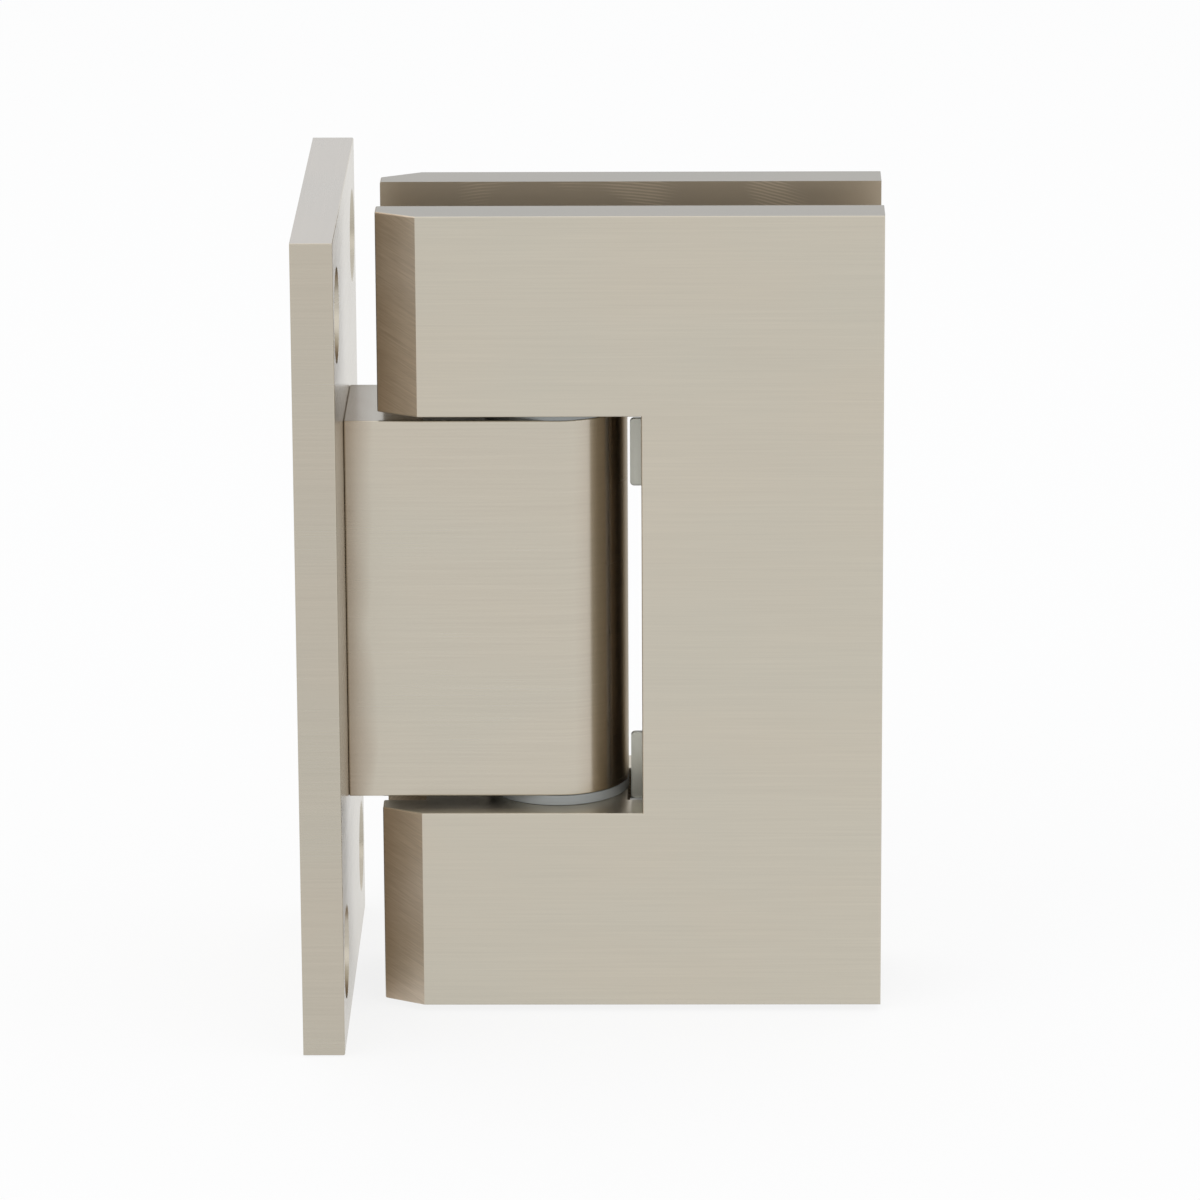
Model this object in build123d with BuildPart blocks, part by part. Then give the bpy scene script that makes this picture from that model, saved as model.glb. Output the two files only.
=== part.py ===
"""Wall-mounted, self-centring pivot hinge for a frameless glass shower door.

Millimetres. The origin is the centre of the wall plate's back face, which lies on the wall.
+X points away from the wall along the closed door, +Y to the rear of the door, +Z up.
"""
import math
import os

from build123d import *

# wall plate
plate_height = 90.0
plate_width = 50.0
plate_thickness = 4.5
wall_hole_span_y = 36.0
wall_hole_span_z = 71.0
wall_hole_diameter = 6.4
wall_countersink_diameter = 10.4
wall_countersink_angle = 82.0
edge_break = 0.2

# pivot block
block_height = 42.4
block_depth = 15.5
axis_offset = 22.75
block_screw_span = 32.0
block_screw_length = 14.0
tapped_end_room = 1.5

# pivot pin with its bushes and thrust washers
pin_diameter = 9.0
pin_end_chamfer = 0.8
pin_inset = 0.5
pin_relief = 0.4
bush_wall = 1.0
bush_length = 9.0
washer_thickness = 1.05
washer_play = 0.05
running_clearance = 0.05
seat_clearance = 0.02

# detent plungers and springs
detent_span = 15.0
detent_flat_depth = 0.9
detent_flat_length = 23.0
plunger_diameter = 8.0
plunger_length = 9.5
plunger_nose_radius = 2.0
plunger_standoff = 0.1
spring_diameter = 5.4
spring_wire = 1.0
spring_turns = 6
spring_pocket_depth = 5.0
spring_pocket_room = 0.3

# glass clamp
clamp_height = 88.8
clamp_left = 19.05
clamp_right = 35.3
clamp_plate_thickness = 4.8
bevel_length = 4.35
bevel_depth = 2.4
notch_wall = 9.3
glass_thickness = 10.0
gasket_thickness = 0.7

# pin bosses, screw posts and the rib beside the notch, between the clamp plates
boss_left = 14.4
boss_right = 7.6
boss_height = 10.0
boss_gap = 0.4
rib_width = 5.0
post_diameter = 10.0
post_gap = 0.8

# screws
screw_diameter = 5.0
screw_head_diameter = 9.2
screw_head_land = 0.3
screw_head_recess = 0.25
screw_countersink_angle = 90.0
screw_hole_clearance = 0.25
screw_end_chamfer = 0.5
socket_across_flats = 3.0
socket_depth = 2.0
clamp_screw_left = 9.9
clamp_screw_right = 16.5
front_skin = 1.2
set_screw_recess = 0.4
set_screw_socket = 2.5
pin_flat_depth = 0.6
pin_flat_length = 7.0

# gaskets
gasket_inset = 3.2
gasket_gap = 0.3
flap_face = 8.05
flap_root = 0.4
flap_height = 7.45
flap_end_gap = 0.87
flap_drop = 0.6
flap_corner_radius = 0.45

# places worked out from the sizes above
axis_x = plate_thickness + axis_offset
pin_radius = pin_diameter / 2
screw_radius = screw_diameter / 2
screw_head_radius = screw_head_diameter / 2
countersink_radius = screw_head_radius + screw_head_recess + screw_head_land
bush_bore_radius = pin_radius + running_clearance
bush_radius = bush_bore_radius + bush_wall
bush_middle = block_height / 2 - bush_length / 2
plunger_bore_radius = plunger_diameter / 2 + running_clearance
notch_half = block_height / 2 + washer_thickness + washer_play
clamp_left_x = axis_x - clamp_left
clamp_right_x = axis_x + clamp_right
notch_wall_x = axis_x + notch_wall
inner_y = glass_thickness / 2 + gasket_thickness
outer_y = inner_y + clamp_plate_thickness
boss_top = notch_half + boss_height
boss_middle = notch_half + boss_height / 2
boss_left_x = axis_x - boss_left
boss_right_x = axis_x + boss_right
boss_depth = inner_y - boss_gap / 2
pin_half = boss_top - pin_inset
pin_flat_y = pin_radius - pin_flat_depth
tapped_radius = screw_radius + seat_clearance
tapped_end_y = -(outer_y - front_skin)
screw_top_y = outer_y - screw_head_recess
clamp_screw_length = screw_top_y - tapped_end_y - tapped_end_room
left_screw_x = axis_x - clamp_screw_left
right_screw_x = axis_x + clamp_screw_right
clamp_screw_places = [(x, z) for x in (left_screw_x, right_screw_x) for z in (-boss_middle, boss_middle)]
post_places = [(right_screw_x, z) for z in (-boss_middle, boss_middle)]
pin_screw_places = [(axis_x, z) for z in (-boss_middle, boss_middle)]
nose_x = axis_x - pin_radius - plunger_standoff
pocket_x = nose_x - plunger_length + spring_pocket_depth
flap_middle_x = axis_x + (flap_face + notch_wall + flap_root) / 2
flap_middle = notch_half - flap_end_gap - flap_height / 2
rib_front_y = gasket_gap - glass_thickness / 2

# planes on the wall plate's two faces and on the glass clamp's middle, seen from outside
plate_front = Plane(origin=(plate_thickness, 0, 0), x_dir=(0, 1, 0), z_dir=(1, 0, 0))
plate_back = Plane(origin=(0, 0, 0), x_dir=(0, -1, 0), z_dir=(-1, 0, 0))


def front_plane(y):
    """Plane that looks out to the front of the door; its axes are the frame's X and Z."""
    return Plane(origin=(0, y, 0), x_dir=(1, 0, 0), z_dir=(0, -1, 0))


def rear_plane(y):
    """Plane that looks out to the rear of the door; its axes are the frame's -X and Z."""
    return Plane(origin=(0, y, 0), x_dir=(-1, 0, 0), z_dir=(0, 1, 0))


def mirrored(places):
    """The same places on a plane whose first axis is -X."""
    return [(-x, z) for x, z in places]


def countersunk_screw(length):
    """Socket screw along +Z with its head's top at the origin and its end at -length."""
    half_angle = math.radians(screw_countersink_angle / 2)
    cone_end = screw_head_land + (screw_head_radius - screw_radius) / math.tan(half_angle)
    with BuildPart(mode=Mode.PRIVATE) as screw:
        with BuildSketch(Plane.XZ):
            with BuildLine():
                Polyline(
                    (0, 0),
                    (screw_head_radius, 0),
                    (screw_head_radius, -screw_head_land),
                    (screw_radius, -cone_end),
                    (screw_radius, screw_end_chamfer - length),
                    (screw_radius - screw_end_chamfer, -length),
                    (0, -length),
                    close=True,
                )
            make_face()
        revolve(axis=Axis.Z)
        with BuildSketch():
            RegularPolygon(socket_across_flats / 2, 6, major_radius=False)
        extrude(amount=-socket_depth, mode=Mode.SUBTRACT)
    return screw.part


# wall plate with countersunk holes for the wall screws and, from behind, for the block's screws
with BuildPart() as wall_plate:
    with BuildSketch(Plane.YZ):
        Rectangle(plate_width, plate_height)
    extrude(amount=plate_thickness)
    front_edges = wall_plate.faces().sort_by(Axis.X)[-1].edges()
    corner_edges = wall_plate.edges().filter_by(Axis.X)
    fillet(front_edges + corner_edges, radius=edge_break)
    with Locations(plate_front):
        with GridLocations(wall_hole_span_y, wall_hole_span_z, 2, 2):
            CounterSinkHole(
                wall_hole_diameter / 2,
                wall_countersink_diameter / 2,
                depth=plate_thickness,
                counter_sink_angle=wall_countersink_angle,
            )
    with Locations(plate_back):
        with GridLocations(0, block_screw_span, 1, 2):
            CounterSinkHole(
                screw_radius + screw_hole_clearance,
                countersink_radius,
                depth=plate_thickness,
                counter_sink_angle=screw_countersink_angle,
            )

# pivot block, fully rounded at its free end
with BuildPart() as pivot_block:
    with BuildSketch(Plane.XY.offset(-block_height / 2)):
        with Locations((plate_thickness, 0)):
            Rectangle(axis_offset, block_depth, align=(Align.MIN, Align.CENTER))
        with Locations((axis_x, 0)):
            Circle(block_depth / 2)
    extrude(amount=block_height)
    sharp_edges = pivot_block.edges().filter_by(lambda edge: abs(edge.center().X - axis_x) > edge_break)
    fillet(sharp_edges, radius=edge_break)
    with Locations((axis_x, 0, 0)):
        Cylinder(pin_radius + pin_relief, block_height, mode=Mode.SUBTRACT)
    with Locations((axis_x, 0, bush_middle), (axis_x, 0, -bush_middle)):
        Cylinder(bush_radius, bush_length, mode=Mode.SUBTRACT)
    with BuildSketch(plate_front):
        with GridLocations(0, detent_span, 1, 2):
            Circle(plunger_bore_radius)
    extrude(amount=axis_offset, mode=Mode.SUBTRACT)
    with BuildSketch(plate_front):
        with GridLocations(0, block_screw_span, 1, 2):
            Circle(tapped_radius)
    extrude(
        amount=block_screw_length + screw_head_recess - plate_thickness + tapped_end_room,
        mode=Mode.SUBTRACT,
    )

# two countersunk screws from the back of the wall plate into the block
with BuildPart() as block_screws:
    with Locations(plate_back.offset(-screw_head_recess)):
        with GridLocations(0, block_screw_span, 1, 2):
            add(countersunk_screw(block_screw_length))

# sleeve bearings for the pin, pressed into both ends of the block
with BuildPart() as upper_bush:
    with BuildSketch(Plane.XY.offset(bush_middle - bush_length / 2)):
        with Locations((axis_x, 0)):
            Circle(bush_radius)
            Circle(bush_bore_radius, mode=Mode.SUBTRACT)
    extrude(amount=bush_length)

with BuildPart() as lower_bush:
    add(upper_bush.part)
    mirror(about=Plane.XY, mode=Mode.REPLACE)

# thrust washers between the block and the arms of the clamp
with BuildPart() as upper_thrust_washer:
    with BuildSketch(Plane.XY.offset(block_height / 2)):
        with Locations((axis_x, 0)):
            Circle(block_depth / 2)
            Circle(bush_bore_radius, mode=Mode.SUBTRACT)
    extrude(amount=washer_thickness)

with BuildPart() as lower_thrust_washer:
    add(upper_thrust_washer.part)
    mirror(about=Plane.XY, mode=Mode.REPLACE)

# pivot pin: a long flat towards the wall for the plungers, a short flat at each end for a set screw
with BuildPart() as pivot_pin:
    with Locations((axis_x, 0, 0)):
        Cylinder(pin_radius, 2 * pin_half)
    chamfer(pivot_pin.edges().filter_by(GeomType.CIRCLE), length=pin_end_chamfer)
    with Locations((axis_x - pin_radius, 0, 0)):
        Box(2 * detent_flat_depth, pin_diameter, detent_flat_length, mode=Mode.SUBTRACT)
    with Locations(*[(x, pin_radius, z) for x, z in pin_screw_places]):
        Box(pin_diameter, 2 * pin_flat_depth, pin_flat_length, mode=Mode.SUBTRACT)

# detent plungers with a rounded nose and a pocket for the spring
with BuildPart() as upper_detent_plunger:
    with BuildSketch(Plane(origin=(nose_x, 0, detent_span / 2), x_dir=(0, 1, 0), z_dir=(1, 0, 0))):
        Circle(plunger_diameter / 2)
    extrude(amount=-plunger_length)
    fillet(upper_detent_plunger.faces().sort_by(Axis.X)[-1].edges(), radius=plunger_nose_radius)
    back_face = upper_detent_plunger.faces().sort_by(Axis.X)[0]
    with BuildSketch(back_face):
        Circle(spring_diameter / 2 + spring_pocket_room)
    extrude(amount=-spring_pocket_depth, mode=Mode.SUBTRACT)

with BuildPart() as lower_detent_plunger:
    with Locations((0, 0, -detent_span)):
        add(upper_detent_plunger.part)

# detent springs from the wall plate to the bottom of the plunger's pocket
with BuildPart() as upper_detent_spring:
    spring_length = pocket_x - plate_thickness
    with BuildLine() as coil:
        Helix(
            (spring_length - spring_wire) / spring_turns,
            spring_length - spring_wire,
            (spring_diameter - spring_wire) / 2,
            center=(plate_thickness + spring_wire / 2, 0, detent_span / 2),
            direction=(1, 0, 0),
        )
    with BuildSketch(Plane(origin=coil.line @ 0, z_dir=coil.line % 0)):
        Rectangle(spring_wire, spring_wire)
    sweep(is_frenet=True)

with BuildPart() as lower_detent_spring:
    with Locations((0, 0, -detent_span)):
        add(upper_detent_spring.part)

# both halves of the glass clamp share this form: a plate bevelled towards the wall and notched round
# the block, and on its inner side two half bosses with a groove for the pin
with BuildPart() as clamp_half:
    with BuildSketch(Plane.XY.offset(-clamp_height / 2)):
        with BuildLine():
            Polyline(
                (clamp_left_x, -inner_y),
                (clamp_left_x, bevel_depth - outer_y),
                (clamp_left_x + bevel_length, -outer_y),
                (clamp_right_x, -outer_y),
                (clamp_right_x, -inner_y),
                close=True,
            )
        make_face()
    extrude(amount=clamp_height)
    with BuildSketch(front_plane(-inner_y)):
        with Locations((clamp_left_x, 0)):
            Rectangle(clamp_left + notch_wall, 2 * notch_half, align=(Align.MIN, Align.CENTER))
    extrude(amount=clamp_plate_thickness, mode=Mode.SUBTRACT)
    face_edges = clamp_half.faces().sort_by(Axis.Y)[0].edges()
    end_edges = clamp_half.edges().filter_by(
        lambda edge: edge.center().X < clamp_left_x + bevel_length and edge.center().Y < -inner_y
    )
    broken_edges = (face_edges + end_edges).filter_by(
        lambda edge: abs(edge.center().X - clamp_left_x - bevel_length) > edge_break
    )
    fillet(broken_edges, radius=edge_break)
    with BuildSketch(front_plane(-boss_gap / 2)):
        with Locations((boss_left_x, notch_half)):
            Rectangle(boss_left + boss_right, boss_height, align=(Align.MIN, Align.MIN))
        with Locations((boss_left_x, -notch_half)):
            Rectangle(boss_left + boss_right, boss_height, align=(Align.MIN, Align.MAX))
    extrude(amount=boss_depth)
    with Locations((axis_x, 0, 0)):
        Cylinder(pin_radius + seat_clearance, 2 * boss_top, mode=Mode.SUBTRACT)

# front clamp plate: a plain face outside, tapped bosses and posts behind it
with BuildPart() as front_clamp_plate:
    add(clamp_half.part)
    with BuildSketch(front_plane(inner_y - post_gap)):
        with Locations(*post_places):
            Circle(post_diameter / 2)
    extrude(amount=2 * inner_y - post_gap)
    with BuildSketch(front_plane(inner_y)):
        with Locations(*clamp_screw_places):
            Circle(tapped_radius)
    extrude(amount=inner_y - tapped_end_y, mode=Mode.SUBTRACT)

# rear clamp plate: a rib beside the notch that keeps the glass off the block, countersunk holes for
# the clamp screws and tapped ones for the pin's set screws
with BuildPart() as rear_clamp_plate:
    add(clamp_half.part)
    mirror(about=Plane.XZ, mode=Mode.REPLACE)
    with BuildSketch(rear_plane(rib_front_y)):
        with Locations((-notch_wall_x, 0)):
            Rectangle(rib_width, 2 * notch_half, align=(Align.MAX, Align.CENTER))
    extrude(amount=inner_y - rib_front_y)
    with Locations(rear_plane(outer_y)):
        with Locations(*mirrored(clamp_screw_places)):
            CounterSinkHole(
                screw_radius + screw_hole_clearance,
                countersink_radius,
                depth=outer_y,
                counter_sink_angle=screw_countersink_angle,
            )
    with Locations(rear_plane(outer_y)):
        with Locations(*mirrored(pin_screw_places)):
            Hole(tapped_radius, depth=outer_y - pin_flat_y)

# four countersunk screws that draw the two clamp plates together
with BuildPart() as clamp_screws:
    with Locations(rear_plane(screw_top_y)):
        with Locations(*mirrored(clamp_screw_places)):
            add(countersunk_screw(clamp_screw_length))

# two set screws that bear on the flats of the pin
with BuildPart() as pin_set_screws:
    with BuildSketch(rear_plane(outer_y - set_screw_recess)):
        with Locations(*mirrored(pin_screw_places)):
            Circle(screw_radius)
    extrude(amount=pin_flat_y + set_screw_recess - outer_y)
    chamfer(pin_set_screws.faces().sort_by(Axis.Y)[:2].edges(), length=screw_end_chamfer)
    with BuildSketch(rear_plane(outer_y - set_screw_recess)):
        with Locations(*mirrored(pin_screw_places)):
            RegularPolygon(set_screw_socket / 2, 6, major_radius=False)
    extrude(amount=-socket_depth, mode=Mode.SUBTRACT)

# both gaskets between the plates and the glass share this sheet, cut out round the bosses and posts
with BuildPart() as gasket_sheet:
    with BuildSketch(front_plane(-glass_thickness / 2)):
        with Locations((clamp_right_x - gasket_inset, 0)):
            Rectangle(
                clamp_left + clamp_right - 2 * gasket_inset,
                clamp_height - 2 * gasket_inset,
                align=(Align.MAX, Align.CENTER),
            )
        with Locations((boss_right_x + gasket_gap, 0)):
            Rectangle(
                clamp_left + boss_right + gasket_gap,
                2 * (boss_top + gasket_gap),
                align=(Align.MAX, Align.CENTER),
                mode=Mode.SUBTRACT,
            )
        with Locations((notch_wall_x, 0)):
            Rectangle(
                clamp_left + notch_wall,
                2 * notch_half,
                align=(Align.MAX, Align.CENTER),
                mode=Mode.SUBTRACT,
            )
        with Locations(*post_places):
            Circle(post_diameter / 2 + gasket_gap, mode=Mode.SUBTRACT)
    extrude(amount=gasket_thickness)

# front gasket, with a flap at each corner of the notch
with BuildPart() as front_gasket:
    add(gasket_sheet.part)
    with BuildSketch(front_plane(-glass_thickness / 2)):
        with Locations((flap_middle_x, flap_middle - flap_drop), (flap_middle_x, -flap_middle - flap_drop)):
            RectangleRounded(notch_wall + flap_root - flap_face, flap_height, flap_corner_radius)
    extrude(amount=gasket_thickness)

# rear gasket, cut out round the rib
with BuildPart() as rear_gasket:
    add(gasket_sheet.part)
    mirror(about=Plane.XZ, mode=Mode.REPLACE)
    with BuildSketch(rear_plane(glass_thickness / 2)):
        with Locations((-notch_wall_x, 0)):
            Rectangle(
                rib_width + gasket_gap,
                2 * (notch_half + gasket_gap),
                align=(Align.MAX, Align.CENTER),
            )
    extrude(amount=gasket_thickness, mode=Mode.SUBTRACT)

pieces = {
    "wall_plate": wall_plate,
    "pivot_block": pivot_block,
    "block_screws": block_screws,
    "upper_bush": upper_bush,
    "lower_bush": lower_bush,
    "upper_thrust_washer": upper_thrust_washer,
    "lower_thrust_washer": lower_thrust_washer,
    "upper_detent_plunger": upper_detent_plunger,
    "lower_detent_plunger": lower_detent_plunger,
    "upper_detent_spring": upper_detent_spring,
    "lower_detent_spring": lower_detent_spring,
    "pivot_pin": pivot_pin,
    "front_clamp_plate": front_clamp_plate,
    "rear_clamp_plate": rear_clamp_plate,
    "clamp_screws": clamp_screws,
    "pin_set_screws": pin_set_screws,
    "front_gasket": front_gasket,
    "rear_gasket": rear_gasket,
}

os.makedirs("parts", exist_ok=True)
for name, piece in pieces.items():
    piece.part.label = name
    export_step(piece.part, f"parts/{name}.step")
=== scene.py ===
"""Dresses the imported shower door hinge: camera, studio light, floor and procedural materials.

Metres, in the frame of the CAD model: +X away from the wall, +Y to the rear of the door, +Z up.
"""
import math

import bpy
from mathutils import Matrix, Vector


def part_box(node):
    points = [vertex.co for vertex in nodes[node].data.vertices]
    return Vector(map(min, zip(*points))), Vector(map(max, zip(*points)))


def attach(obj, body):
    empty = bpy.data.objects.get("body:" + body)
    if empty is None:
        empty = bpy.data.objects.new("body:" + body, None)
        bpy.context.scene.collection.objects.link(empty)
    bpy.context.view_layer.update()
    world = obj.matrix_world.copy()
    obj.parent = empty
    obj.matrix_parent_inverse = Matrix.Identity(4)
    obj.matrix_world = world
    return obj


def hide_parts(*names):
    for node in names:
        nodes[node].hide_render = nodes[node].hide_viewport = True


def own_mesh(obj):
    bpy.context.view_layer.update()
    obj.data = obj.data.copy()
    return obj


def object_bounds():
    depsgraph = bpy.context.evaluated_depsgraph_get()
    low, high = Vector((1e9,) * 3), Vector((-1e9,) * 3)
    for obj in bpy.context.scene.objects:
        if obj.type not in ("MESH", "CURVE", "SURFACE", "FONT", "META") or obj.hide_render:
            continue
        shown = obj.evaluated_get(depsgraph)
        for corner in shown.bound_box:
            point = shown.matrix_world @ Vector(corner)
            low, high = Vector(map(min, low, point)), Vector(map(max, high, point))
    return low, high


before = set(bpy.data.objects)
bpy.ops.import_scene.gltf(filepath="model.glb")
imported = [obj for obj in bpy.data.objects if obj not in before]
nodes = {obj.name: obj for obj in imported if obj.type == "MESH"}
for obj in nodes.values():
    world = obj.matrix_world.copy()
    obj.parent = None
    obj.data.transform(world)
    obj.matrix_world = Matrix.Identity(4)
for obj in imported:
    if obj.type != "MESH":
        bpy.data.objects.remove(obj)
cad_low, cad_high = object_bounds()

# camera, fitted to the photograph's 1200 by 1200 frame; angles in degrees
IMAGE_SIZE = 1200
FOCAL_PIXELS = 7256.2
SENSOR_WIDTH = 36.0
CAMERA_AZIMUTH = 0.8
CAMERA_ELEVATION = 16.427
CAMERA_ROLL = -0.313
CAMERA_DISTANCE = 0.7935
CAMERA_NEAREST = 0.01
CAMERA_FARTHEST = 20.0
LOOK_AT = Vector((0.0319, 0.0, -0.00119))

# studio
WHITE = (1.0, 1.0, 1.0, 1.0)
FLOOR_HALF = 3.0
FLOOR_DROP = 0.0001
FLOOR_COLOUR = (0.90, 0.90, 0.90, 1.0)
FLOOR_GLOW = 0.84
WORLD_FILL = (0.97, 0.98, 1.0, 1.0)
WORLD_FILL_STRENGTH = 0.8

# square area lights: name, place, width, watts and colour
SOFTBOXES = (
    ("key_light", (-0.85, -0.60, 0.70), 1.2, 3.0, (1.0, 0.99, 0.97)),
    ("fill_light", (0.90, -0.50, 0.50), 1.2, 1.5, (0.97, 0.98, 1.0)),
    ("top_light", (0.05, 0.15, 0.95), 1.2, 2.0, (1.0, 1.0, 1.0)),
)

# the range in which most of a noise lies, and its middle
NOISE_RANGE = (0.3, 0.7)
NOISE_MIDDLE = 0.5

# depth of the finest surface marks
BUMP_DEPTH = 0.00002

# a face lies flat to an axis where that part of its normal is more than this
FLAT_NORMAL = 0.8

# brushed nickel: tone of the faces, tone of the ends (darker, painted shade), run of the lines on the ends,
# roughness, anisotropy
PLATE_FINISH_AND_SHADE = ((0.505, 0.465, 0.390), (0.455, 0.430, 0.398), "y", 0.25, 0.7)
BLOCK_FINISH_AND_SHADE = ((0.550, 0.508, 0.428), (0.385, 0.367, 0.328), "x", 0.24, 0.75)
CLAMP_FINISH_AND_SHADE = ((0.563, 0.522, 0.440), (0.362, 0.350, 0.324), "x", 0.33, 0.5)

# size of the brush lines round the vertical faces, and the share that the short ones have
SHORT_LINES = (0.011, 0.011, 0.00013)
LONG_LINES = (0.030, 0.030, 0.00022)
SHORT_SHARE = 0.55
ACROSS_LINES = (0.0, 0.0, 1.0)
LINE_SPREAD = 0.04
LINE_RANGE = (0.25, 0.75)
LINE_ROUGHNESS = 0.04
LINE_BUMP = 0.09

# size of the brush lines on the ends, and the direction across them, by the axis along which they run
END_LINES = {
    "x": ((0.010, 0.00012, 0.010), (0.0, 1.0, 0.0)),
    "y": ((0.00012, 0.010, 0.010), (1.0, 0.0, 0.0)),
}

# faint patches of plating, from a warm to a cool cast
PATCH_SIZE = (0.022, 0.022, 0.014)
PATCH_ROUGHNESS = 0.02
CAST_RANGE = (0.35, 0.65)
WARM_CAST = (1.008, 0.998, 0.990, 1.0)
COOL_CAST = (0.994, 1.001, 1.004, 1.0)

# size of the patches that make the limit of a painted shade uneven
LIMIT_PATCHES = (0.006, 0.006, 0.014)

# the clamp's bevels are ground at a slant, and painted shade makes them browner and darker towards the wall
# plate
BEVEL_SHADE_LENGTH = 0.00435
BEVEL_NORMAL_X = -0.483
BEVEL_NORMAL_REACH = 0.15
BEVEL_LINES = (0.004, 0.004, 0.00012)
BEVEL_LINE_TURN = (0.0, math.radians(27), 0.0)
BEVEL_ACROSS = (1.0, 0.0, 0.0)
BEVEL_LINE_SPREAD = 0.12
BEVEL_OUTER_PAINTED_SHADE = (0.68, 0.565, 0.48, 1.0)
BEVEL_INNER_PAINTED_SHADE = (1.0, 0.92, 0.88, 1.0)
BEVEL_EXTRA_ROUGHNESS = 0.12

# the floor and the roof of the clamp's notch lie within this height, and keep the tone of its sides
NOTCH_REACH = 0.030
NOTCH_LINE_SPREAD = 0.05

# the clamp's inner faces lie within this distance of the glass's middle plane; they are milled, and their
# darker brown tone is painted shade of the slot between the plates
INNER_FACE_Y = 0.0058
MILLED_SHADED_TONE = (0.51, 0.430, 0.325)
MILLED_SPREAD = 0.14
MILLED_EXTRA_ROUGHNESS = 0.12
CUTTER_SHIFT = (-0.028, 0.0, 0.045)
CUTTER_STEPS = 900.0
CUTTER_PATCHES = (0.009, 0.02, 0.009)
CUTTER_PATCH_RANGE = (0.45, 0.65)
CUTTER_SHARES = (0.1, 1.0)

# painted shade on the block: browner and darker beside the wall plate, which shades it, and round its free
# end, which reflects the clamp's shaded notch
JOINT_SHADE_LENGTH = 0.0028
JOINT_PAINTED_SHADE = (0.71, 0.64, 0.59, 1.0)
ROUND_END_SHADE_NORMALS = (0.25, 0.75)
ROUND_END_PAINTED_SHADE = (0.76, 0.70, 0.67, 1.0)

# turned steel; the rings' wave is given as its angle per metre from the axis
STEEL_TONE = (0.47, 0.47, 0.46)
STEEL_SPREAD = 0.08
STEEL_ROUGHNESS = (0.18, 0.30)
STEEL_GRAIN = 0.0005
STEEL_BUMP = 0.10
RING_STEPS = 13000.0
RING_WOBBLE = 2.0
RING_WOBBLE_SIZE = 0.002
RING_SHARE = 0.45

# round steel pieces, with their axis and the radius at their outermost
ROUND_STEEL = (
    ("block_screws", 0, 0.0046),
    ("clamp_screws", 1, 0.0046),
    ("pin_set_screws", 1, 0.0025),
    ("pivot_pin", 2, 0.0045),
    ("upper_detent_spring", 0, 0.0027),
    ("lower_detent_spring", 0, 0.0027),
    ("upper_detent_plunger", 0, 0.0040),
    ("lower_detent_plunger", 0, 0.0040),
)

# plastics: darkest and lightest tone, range of roughness
# the nylon's mid grey is painted shade: the washers sit in shadow between the block and the clamp
SHADED_NYLON = ((0.34, 0.36, 0.36, 1.0), (0.40, 0.42, 0.42, 1.0), (0.38, 0.55))
ACETAL = ((0.74, 0.74, 0.72, 1.0), (0.82, 0.82, 0.80, 1.0), (0.3, 0.45))
VINYL = ((0.82, 0.82, 0.76, 1.0), (0.92, 0.92, 0.86, 1.0), (0.28, 0.42))
PLASTIC_CLOUD = 0.005
PLASTIC_GRAIN = 0.0002
PLASTIC_BUMP = 0.15
NYLON_MILKINESS = 0.3
NYLON_DEPTH = (0.001, 0.001, 0.001)
VINYL_CLEARNESS = 0.7
VINYL_IOR = 1.5

# the front gasket's flaps lie left of the notch's wall and within its height; painted shade makes them
# greyer
FLAP_REACH_X = 0.03655
FLAP_REACH_Z = 0.0225
FLAP_PAINTED_SHADE = (0.72, 0.72, 0.69, 1.0)


def add_node(tree, kind, inputs=None, **settings):
    """Adds a node, sets its properties, and sets or links its inputs."""
    node = tree.nodes.new(kind)
    for key, value in settings.items():
        setattr(node, key, value)
    for key, value in (inputs or {}).items():
        if isinstance(value, bpy.types.NodeSocket):
            tree.links.new(value, node.inputs[key])
        else:
            node.inputs[key].default_value = value
    return node


def math_node(tree, operation, first, second=0.0, clamp=False):
    """The result of a sum on two values or sockets."""
    made = add_node(tree, "ShaderNodeMath", {0: first, 1: second}, operation=operation, use_clamp=clamp)
    return made.outputs["Value"]


def vector_math(tree, operation, *values):
    """The outputs of a sum on directions or sockets."""
    return add_node(tree, "ShaderNodeVectorMath", dict(enumerate(values)), operation=operation).outputs


def axes_of(tree, vector):
    """The X, Y and Z sockets of a vector socket."""
    return add_node(tree, "ShaderNodeSeparateXYZ", {"Vector": vector}).outputs


def is_within(tree, value, limit):
    """1 where a value is nearer to zero than limit, otherwise 0."""
    return math_node(tree, "LESS_THAN", math_node(tree, "ABSOLUTE", value), limit)


def is_flat_to(tree, value):
    """1 where a face lies flat to the axis of this part of its normal, otherwise 0."""
    return math_node(tree, "GREATER_THAN", math_node(tree, "ABSOLUTE", value), FLAT_NORMAL)


def share_out(tree, share, first, second):
    """The given share of the first value, and the rest of the second."""
    return math_node(tree, "ADD", math_node(tree, "MULTIPLY", first, share),
                     math_node(tree, "MULTIPLY", second, 1 - share))


def add_where(tree, value, factor, extra):
    """A value, with extra added where factor is 1."""
    return math_node(tree, "ADD", value, math_node(tree, "MULTIPLY", factor, extra))


def map_range(tree, value, old, new=(0.0, 1.0)):
    """A value moved from an old range to a new one."""
    inputs = {"Value": value, "From Min": old[0], "From Max": old[1], "To Min": new[0], "To Max": new[1]}
    return add_node(tree, "ShaderNodeMapRange", inputs).outputs["Result"]


def pick(tree, factor, first, second):
    """The first value where factor is 0 and the second where it is 1."""
    made = add_node(tree, "ShaderNodeMix", {0: factor, 2: first, 3: second}, data_type="FLOAT")
    return made.outputs[0]


def blend_vectors(tree, factor, first, second):
    """A direction between two directions or sockets."""
    made = add_node(tree, "ShaderNodeMix", {0: factor, 4: first, 5: second}, data_type="VECTOR")
    return made.outputs[1]


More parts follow.
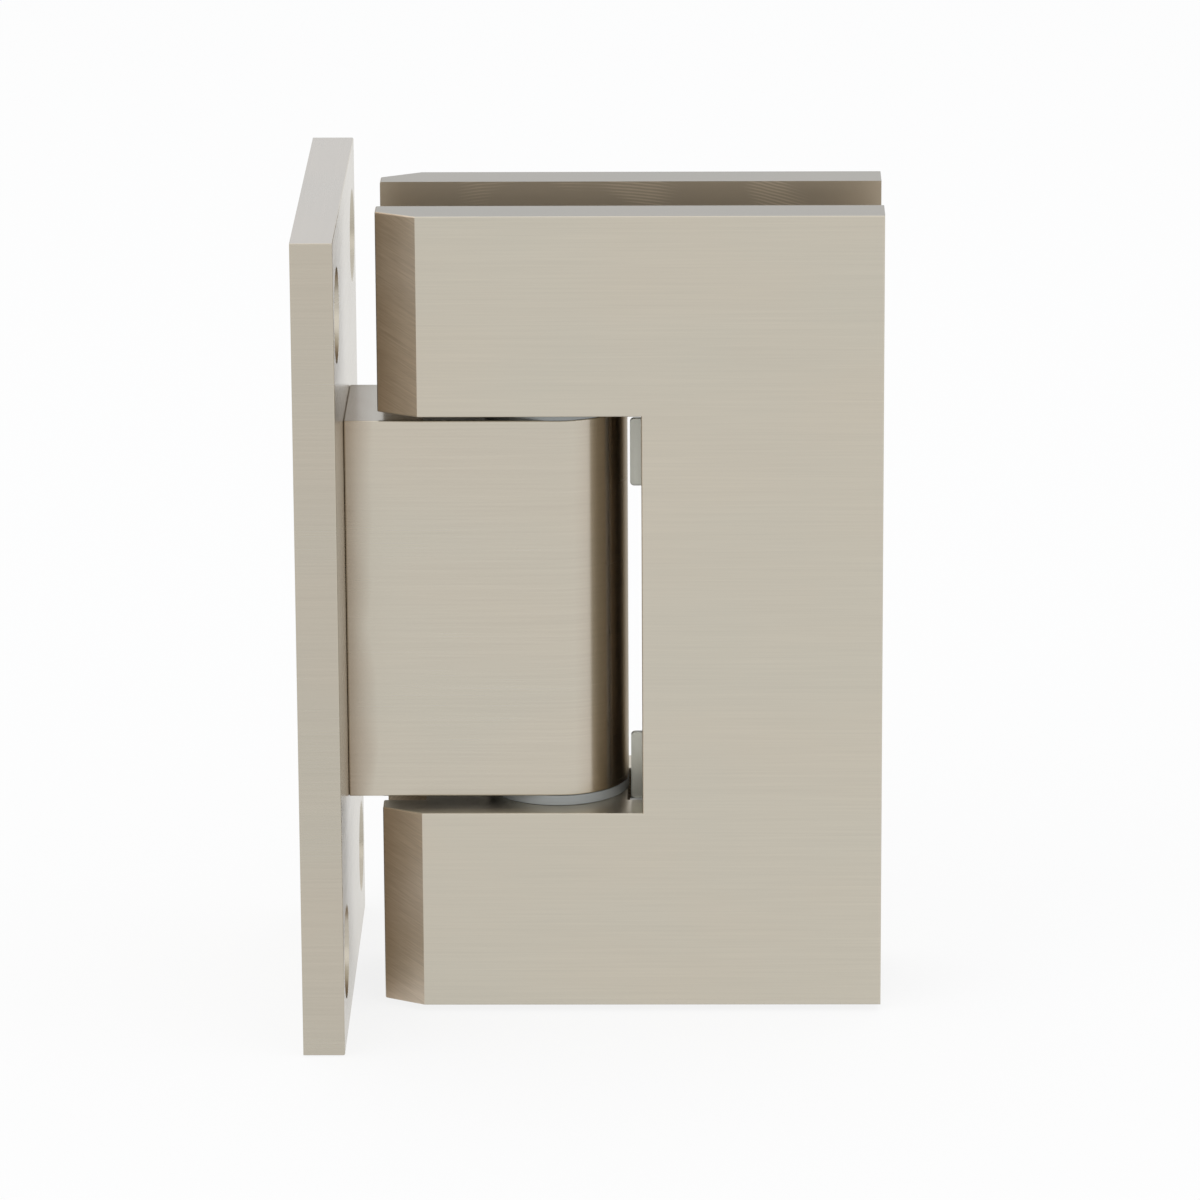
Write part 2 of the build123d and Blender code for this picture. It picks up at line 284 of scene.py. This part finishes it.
def blend_colours(tree, factor, first, second, how="MIX"):
    """A colour between two colours or sockets."""
    made = add_node(tree, "ShaderNodeMix", {0: factor, 6: first, 7: second},
                    data_type="RGBA", blend_type=how)
    return made.outputs[2]


def multiply_colours(tree, factor, first, second):
    """The first colour, times the second where factor is 1."""
    return blend_colours(tree, factor, first, second, "MULTIPLY")


def noise(tree, place, size, turn=(0.0, 0.0, 0.0), shift=(0.0, 0.0, 0.0), detail=2.0, rough=0.5):
    """Noise whose grains are about size metres along each axis, turned by the given angles."""
    mapping = add_node(
        tree,
        "ShaderNodeMapping",
        {"Vector": place, "Location": shift, "Rotation": turn, "Scale": size},
        vector_type="TEXTURE",
    )
    made = add_node(
        tree,
        "ShaderNodeTexNoise",
        {"Vector": mapping.outputs["Vector"], "Scale": 1.0, "Detail": detail, "Roughness": rough},
    )
    return made.outputs["Fac"]


def even_noise(tree, place, size, **settings):
    """Noise whose grains are about size metres every way."""
    return noise(tree, place, (size, size, size), **settings)


def start_material(name):
    """A new material, its tree, its shader, and the sockets of the places and normals on the object."""
    material = bpy.data.materials.new(name)
    material.use_nodes = True
    tree = material.node_tree
    return material, tree, tree.nodes["Principled BSDF"], add_node(tree, "ShaderNodeTexCoord").outputs


def bump(tree, shader, height, strength):
    """Raises the surface by a height socket."""
    made = add_node(tree, "ShaderNodeBump", {"Strength": strength, "Distance": BUMP_DEPTH, "Height": height})
    tree.links.new(made.outputs["Normal"], shader.inputs["Normal"])


def shade(colour, factor):
    """A colour made lighter or darker."""
    return tuple(channel * factor for channel in colour) + (1.0,)


def streaked(tree, lines, colour, spread):
    """A colour that varies with a pattern of lines by the given share."""
    level = map_range(tree, lines, NOISE_RANGE)
    return blend_colours(tree, level, shade(colour, 1 - spread), shade(colour, 1 + spread))


def side_painted_shade(tree, place, start, length, first, second):
    """Painted shade that goes from one colour to another along X, with a patchy limit."""
    patches = noise(tree, place, LIMIT_PATCHES, shift=(0.2, 0.5, 0.9))
    limit = math_node(tree, "MULTIPLY", math_node(tree, "SUBTRACT", patches, NOISE_MIDDLE), length)
    along = math_node(tree, "ADD", axes_of(tree, place)["X"], limit)
    return blend_colours(tree, map_range(tree, along, (start, start + length)), first, second)


def grind_and_shade_bevels(tree, metal):
    """Gives the clamp's bevels slanting lines, and painted shade, brown and dark, that fades away from the
    wall.
    """
    tilt = math_node(tree, "SUBTRACT", metal["facing"]["X"], BEVEL_NORMAL_X)
    is_bevel = is_within(tree, tilt, BEVEL_NORMAL_REACH)
    slant = noise(tree, metal["place"], BEVEL_LINES, turn=BEVEL_LINE_TURN, detail=3.0, rough=0.65)
    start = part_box("front_clamp_plate")[0].x
    # painted shade, browner and darker beside the wall; the grinding streaks run through it
    painted_shade = side_painted_shade(tree, metal["place"], start, BEVEL_SHADE_LENGTH, BEVEL_OUTER_PAINTED_SHADE, BEVEL_INNER_PAINTED_SHADE)
    painted_shade = multiply_colours(tree, 1.0, painted_shade, streaked(tree, slant, WHITE[:3], BEVEL_LINE_SPREAD))
    metal["lines"] = pick(tree, is_bevel, metal["lines"], slant)
    metal["across"] = blend_vectors(tree, is_bevel, metal["across"], BEVEL_ACROSS)
    metal["colour"] = multiply_colours(tree, is_bevel, metal["colour"], painted_shade)
    metal["rough"] = add_where(tree, metal["rough"], is_bevel, BEVEL_EXTRA_ROUGHNESS)


def brush_notch(tree, metal):
    """Gives the floor and the roof of the clamp's notch the tone of its sides."""
    is_low = is_within(tree, axes_of(tree, metal["place"])["Z"], NOTCH_REACH)
    is_notch = math_node(tree, "MULTIPLY", metal["is_end"], is_low)
    sides = streaked(tree, metal["lines"], metal["tone"], NOTCH_LINE_SPREAD)
    metal["colour"] = blend_colours(tree, is_notch, metal["colour"], sides)


def milling_marks(tree, place):
    """Fine arcs left by the cutter, which show up in patches."""
    centre = add_node(tree, "ShaderNodeMapping", {"Vector": place, "Location": CUTTER_SHIFT})
    arcs = add_node(
        tree,
        "ShaderNodeTexWave",
        {"Vector": centre.outputs["Vector"], "Scale": CUTTER_STEPS, "Distortion": 1.5, "Detail": 2.0,
         "Detail Scale": 0.4},
        wave_type="RINGS",
        rings_direction="Y",
    )
    patches = noise(tree, place, CUTTER_PATCHES, detail=1.0)
    shares = map_range(tree, patches, CUTTER_PATCH_RANGE, CUTTER_SHARES)
    return math_node(tree, "MULTIPLY", arcs.outputs["Fac"], shares)


def mill_and_shade_inner_faces(tree, metal):
    """Gives the clamp's inner faces the cutter's marks, on a darker brown tone that is painted shade of the
    slot.
    """
    is_deep = is_within(tree, axes_of(tree, metal["place"])["Y"], INNER_FACE_Y)
    is_inside = math_node(tree, "MULTIPLY", is_deep, is_flat_to(tree, metal["facing"]["Y"]))
    marks = milling_marks(tree, metal["place"])
    milled_and_shaded = streaked(tree, marks, MILLED_SHADED_TONE, MILLED_SPREAD)
    metal["lines"] = pick(tree, is_inside, metal["lines"], marks)
    metal["colour"] = blend_colours(tree, is_inside, metal["colour"], milled_and_shaded)
    metal["rough"] = add_where(tree, metal["rough"], is_inside, MILLED_EXTRA_ROUGHNESS)


def painted_shade_beside_plate(tree, metal):
    """Paints shade on the block beside the wall plate, which shades it."""
    joint_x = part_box("pivot_block")[0].x
    # painted shade where the wall plate shades the block
    painted_shade = side_painted_shade(tree, metal["place"], joint_x, JOINT_SHADE_LENGTH, JOINT_PAINTED_SHADE, WHITE)
    metal["colour"] = multiply_colours(tree, 1.0, metal["colour"], painted_shade)


def painted_shade_round_end(tree, metal):
    """Paints shade on the block round its free end, the dark reflection of the clamp's notch."""
    # painted shade: the free end's dark reflection of the clamp's notch
    turned = map_range(tree, metal["facing"]["X"], ROUND_END_SHADE_NORMALS)
    painted_shade = blend_colours(tree, turned, WHITE, ROUND_END_PAINTED_SHADE)
    metal["colour"] = multiply_colours(tree, 1.0, metal["colour"], painted_shade)


def brush_lines(tree, place, is_end, end_size):
    """Lines round the vertical faces, and straight ones on the ends."""
    short = noise(tree, place, SHORT_LINES, detail=1.5, rough=0.6)
    long = noise(tree, place, LONG_LINES, shift=(0.4, 0.1, 0.2), detail=1.5)
    ends = noise(tree, place, end_size, detail=3.0, rough=0.65)
    return pick(tree, is_end, share_out(tree, SHORT_SHARE, short, long), ends)


def start_metal(tree, coordinates, face_tone, shaded_end_tone, end_run, roughness):
    """Brushed metal before any work on single faces, as the sockets that its shader takes."""
    place = coordinates["Object"]
    facing = axes_of(tree, coordinates["Normal"])
    is_end = is_flat_to(tree, facing["Z"])
    end_size, end_across = END_LINES[end_run]
    lines = brush_lines(tree, place, is_end, end_size)
    patches = noise(tree, place, PATCH_SIZE, shift=(0.3, 0.7, 0.5), detail=3.0)
    cast = blend_colours(tree, map_range(tree, patches, CAST_RANGE), WARM_CAST, COOL_CAST)
    # the ends take their own darker tone, which paints shade on the tops and bottoms
    colour = blend_colours(tree, is_end, streaked(tree, lines, face_tone, LINE_SPREAD),
                           streaked(tree, lines, shaded_end_tone, LINE_SPREAD))
    along_lines = (roughness - LINE_ROUGHNESS, roughness + LINE_ROUGHNESS)
    return {
        "place": place,
        "facing": facing,
        "is_end": is_end,
        "tone": face_tone,
        "lines": lines,
        "across": blend_vectors(tree, is_end, ACROSS_LINES, end_across),
        "colour": multiply_colours(tree, 1.0, colour, cast),
        "rough": math_node(tree, "ADD", map_range(tree, lines, LINE_RANGE, along_lines),
                           map_range(tree, patches, NOISE_RANGE, (-PATCH_ROUGHNESS, PATCH_ROUGHNESS))),
    }


def brushed_nickel(name, finish_and_shade, *works):
    """Satin nickel with fine brush lines; each of the works changes it on some faces of the piece."""
    face_tone, shaded_end_tone, end_run, roughness, grain = finish_and_shade
    material, tree, shader, coordinates = start_material(name)
    metal = start_metal(tree, coordinates, face_tone, shaded_end_tone, end_run, roughness)
    for work in works:
        work(tree, metal)
    tree.links.new(metal["colour"], shader.inputs["Base Color"])
    tree.links.new(metal["rough"], shader.inputs["Roughness"])
    shader.inputs["Metallic"].default_value = 1.0
    shader.inputs["Anisotropic"].default_value = grain
    in_world = add_node(tree, "ShaderNodeVectorTransform", {"Vector": metal["across"]},
                        vector_type="VECTOR", convert_from="OBJECT", convert_to="WORLD")
    tree.links.new(in_world.outputs["Vector"], shader.inputs["Tangent"])
    bump(tree, shader, metal["lines"], LINE_BUMP)
    return material


def distance_from_axes(tree, place, node, axis, radius):
    """Distance from the nearest axis, for like round pieces spread evenly about the node's middle."""
    low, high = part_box(node)
    spread = [0.0 if i == axis else (high[i] - low[i]) / 2 - radius for i in range(3)]
    flat = [0.0 if i == axis else 1.0 for i in range(3)]
    moved = vector_math(tree, "SUBTRACT", place, (low + high) / 2)[0]
    folded = vector_math(tree, "ABSOLUTE", moved)[0]
    local = vector_math(tree, "SUBTRACT", folded, spread)[0]
    across = vector_math(tree, "MULTIPLY", local, flat)[0]
    return vector_math(tree, "LENGTH", across)["Value"]


def turned_steel(node, axis, radius):
    """Bright steel with the fine rings that turning leaves round each axis."""
    material, tree, shader, coordinates = start_material(node + "_steel")
    place = coordinates["Object"]
    reach = distance_from_axes(tree, place, node, axis, radius)
    wobble = math_node(tree, "MULTIPLY", even_noise(tree, place, RING_WOBBLE_SIZE), RING_WOBBLE)
    phase = math_node(tree, "ADD", math_node(tree, "MULTIPLY", reach, RING_STEPS), wobble)
    rings = map_range(tree, math_node(tree, "SINE", phase), (-1.0, 1.0))
    grain = even_noise(tree, place, STEEL_GRAIN, shift=(0.1, 0.2, 0.3))
    marks = share_out(tree, RING_SHARE, rings, grain)
    tree.links.new(streaked(tree, marks, STEEL_TONE, STEEL_SPREAD), shader.inputs["Base Color"])
    tree.links.new(map_range(tree, marks, NOISE_RANGE, STEEL_ROUGHNESS), shader.inputs["Roughness"])
    shader.inputs["Metallic"].default_value = 1.0
    bump(tree, shader, marks, STEEL_BUMP)
    return material


def moulded_plastic(name, kind, painted_shade=None):
    """Moulded plastic with faint clouding and a fine surface grain; the optional function paints shade on
    parts of it.
    """
    dark, light, roughness = kind
    material, tree, shader, coordinates = start_material(name)
    place = coordinates["Object"]
    colour = blend_colours(tree, even_noise(tree, place, PLASTIC_CLOUD, detail=3.0), dark, light)
    if painted_shade:
        colour = multiply_colours(tree, 1.0, colour, painted_shade(tree, place))
    grain = even_noise(tree, place, PLASTIC_GRAIN, shift=(0.1, 0.2, 0.3))
    tree.links.new(colour, shader.inputs["Base Color"])
    tree.links.new(map_range(tree, grain, NOISE_RANGE, roughness), shader.inputs["Roughness"])
    bump(tree, shader, grain, PLASTIC_BUMP)
    return material, shader


def nylon(name):
    """Slightly milky nylon for the thrust washers, darkened to a mid grey: painted shade of the gaps they
    sit in.
    """
    material, shader = moulded_plastic(name, SHADED_NYLON)
    shader.inputs["Subsurface Weight"].default_value = NYLON_MILKINESS
    shader.inputs["Subsurface Radius"].default_value = NYLON_DEPTH
    return material


def acetal(name):
    """White acetal for the bushes."""
    return moulded_plastic(name, ACETAL)[0]


def flap_painted_shade(tree, place):
    """Painted shade: grey in the front gasket's flaps, and white elsewhere."""
    spot = axes_of(tree, place)
    is_left = math_node(tree, "LESS_THAN", spot["X"], FLAP_REACH_X)
    is_flap = math_node(tree, "MULTIPLY", is_left, is_within(tree, spot["Z"], FLAP_REACH_Z))
    return blend_colours(tree, is_flap, WHITE, FLAP_PAINTED_SHADE)


def clear_vinyl(name):
    """Cloudy clear vinyl for the gaskets, with painted shade greying the flaps."""
    material, shader = moulded_plastic(name, VINYL, flap_painted_shade)
    shader.inputs["Transmission Weight"].default_value = VINYL_CLEARNESS
    shader.inputs["IOR"].default_value = VINYL_IOR
    return material


def dress(material, *names):
    """Gives CAD nodes their material."""
    for name in names:
        mesh = nodes[name].data
        mesh.materials.clear()
        mesh.materials.append(material)


def shorten_with(node):
    """Puts a copy in place of a spring, carried by the wall side, and hides the spring."""
    coil = bpy.data.objects.new(node + "_coil", nodes[node].data.copy())
    bpy.context.scene.collection.objects.link(coil)
    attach(coil, "wall_side")
    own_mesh(coil)
    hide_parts(node)


def seen_by_eye_or_mirror(tree):
    """1 for rays from the camera or off metal or glass, otherwise 0."""
    path = add_node(tree, "ShaderNodeLightPath")
    total = math_node(tree, "ADD", path.outputs["Is Camera Ray"], path.outputs["Is Glossy Ray"])
    return math_node(tree, "ADD", total, path.outputs["Is Transmission Ray"], clamp=True)


def build_floor():
    """A pale floor under the hinge that looks white and keeps a soft shadow."""
    bpy.ops.mesh.primitive_plane_add(size=2 * FLOOR_HALF, location=(0, 0, cad_low.z - FLOOR_DROP))
    floor = bpy.context.object
    floor.name = "studio_floor"
    material = bpy.data.materials.new("studio_floor_white")
    material.use_nodes = True
    tree = material.node_tree
    tree.nodes.clear()
    seen = math_node(tree, "MULTIPLY", seen_by_eye_or_mirror(tree), FLOOR_GLOW)
    matt = add_node(tree, "ShaderNodeBsdfDiffuse", {"Color": FLOOR_COLOUR})
    glow = add_node(tree, "ShaderNodeEmission", {"Color": WHITE, "Strength": 1.0})
    mixed = add_node(tree, "ShaderNodeMixShader",
                     {0: seen, 1: matt.outputs["BSDF"], 2: glow.outputs["Emission"]})
    add_node(tree, "ShaderNodeOutputMaterial", {"Surface": mixed.outputs["Shader"]})
    floor.data.materials.append(material)


def build_world():
    """White surroundings, dimmer where they light matt surfaces."""
    world = bpy.data.worlds.new("studio")
    bpy.context.scene.world = world
    world.use_nodes = True
    tree = world.node_tree
    tree.nodes.clear()
    shown = add_node(tree, "ShaderNodeBackground", {"Color": WHITE, "Strength": 1.0})
    fill = add_node(tree, "ShaderNodeBackground", {"Color": WORLD_FILL, "Strength": WORLD_FILL_STRENGTH})
    mixed = add_node(
        tree,
        "ShaderNodeMixShader",
        {0: seen_by_eye_or_mirror(tree), 1: fill.outputs["Background"], 2: shown.outputs["Background"]},
    )
    add_node(tree, "ShaderNodeOutputWorld", {"Surface": mixed.outputs["Shader"]})


def add_softbox(name, place, size, power, colour):
    """A square area light that faces the hinge."""
    light = bpy.data.lights.new(name, "AREA")
    light.size = size
    light.energy = power
    light.color = colour
    lamp = bpy.data.objects.new(name, light)
    lamp.location = place
    lamp.rotation_euler = (LOOK_AT - Vector(place)).to_track_quat("-Z", "Y").to_euler()
    bpy.context.scene.collection.objects.link(lamp)


def build_camera():
    """The photograph's camera, from its azimuth, elevation, roll and distance."""
    azimuth, elevation, roll = (
        math.radians(angle) for angle in (CAMERA_AZIMUTH, CAMERA_ELEVATION, CAMERA_ROLL)
    )
    back = Vector((
        math.sin(azimuth) * math.cos(elevation),
        -math.cos(azimuth) * math.cos(elevation),
        math.sin(elevation),
    ))
    level = Vector((math.cos(azimuth), math.sin(azimuth), 0.0))
    upright = back.cross(level)
    right = level * math.cos(roll) + upright * math.sin(roll)
    up = upright * math.cos(roll) - level * math.sin(roll)
    data = bpy.data.cameras.new("photo_camera")
    data.sensor_width = SENSOR_WIDTH
    data.lens = FOCAL_PIXELS * SENSOR_WIDTH / IMAGE_SIZE
    data.clip_start = CAMERA_NEAREST
    data.clip_end = CAMERA_FARTHEST
    camera = bpy.data.objects.new("photo_camera", data)
    turn = Matrix((right, up, back)).transposed()
    camera.matrix_world = Matrix.Translation(LOOK_AT + back * CAMERA_DISTANCE) @ turn.to_4x4()
    bpy.context.scene.collection.objects.link(camera)
    bpy.context.scene.camera = camera


dress(brushed_nickel("wall_plate_nickel", PLATE_FINISH_AND_SHADE), "wall_plate")
dress(brushed_nickel("block_nickel", BLOCK_FINISH_AND_SHADE, painted_shade_beside_plate, painted_shade_round_end), "pivot_block")
dress(
    brushed_nickel("clamp_nickel", CLAMP_FINISH_AND_SHADE, grind_and_shade_bevels, brush_notch, mill_and_shade_inner_faces),
    "front_clamp_plate",
    "rear_clamp_plate",
)
for piece, along, outermost in ROUND_STEEL:
    dress(turned_steel(piece, along, outermost), piece)
dress(nylon("washer_nylon_shaded"), "upper_thrust_washer", "lower_thrust_washer")
dress(acetal("bush_acetal"), "upper_bush", "lower_bush")
dress(clear_vinyl("gasket_vinyl"), "front_gasket", "rear_gasket")
shorten_with("upper_detent_spring")
shorten_with("lower_detent_spring")

build_floor()
build_world()
for softbox in SOFTBOXES:
    add_softbox(*softbox)
build_camera()
bpy.context.scene.view_settings.view_transform = "Standard"
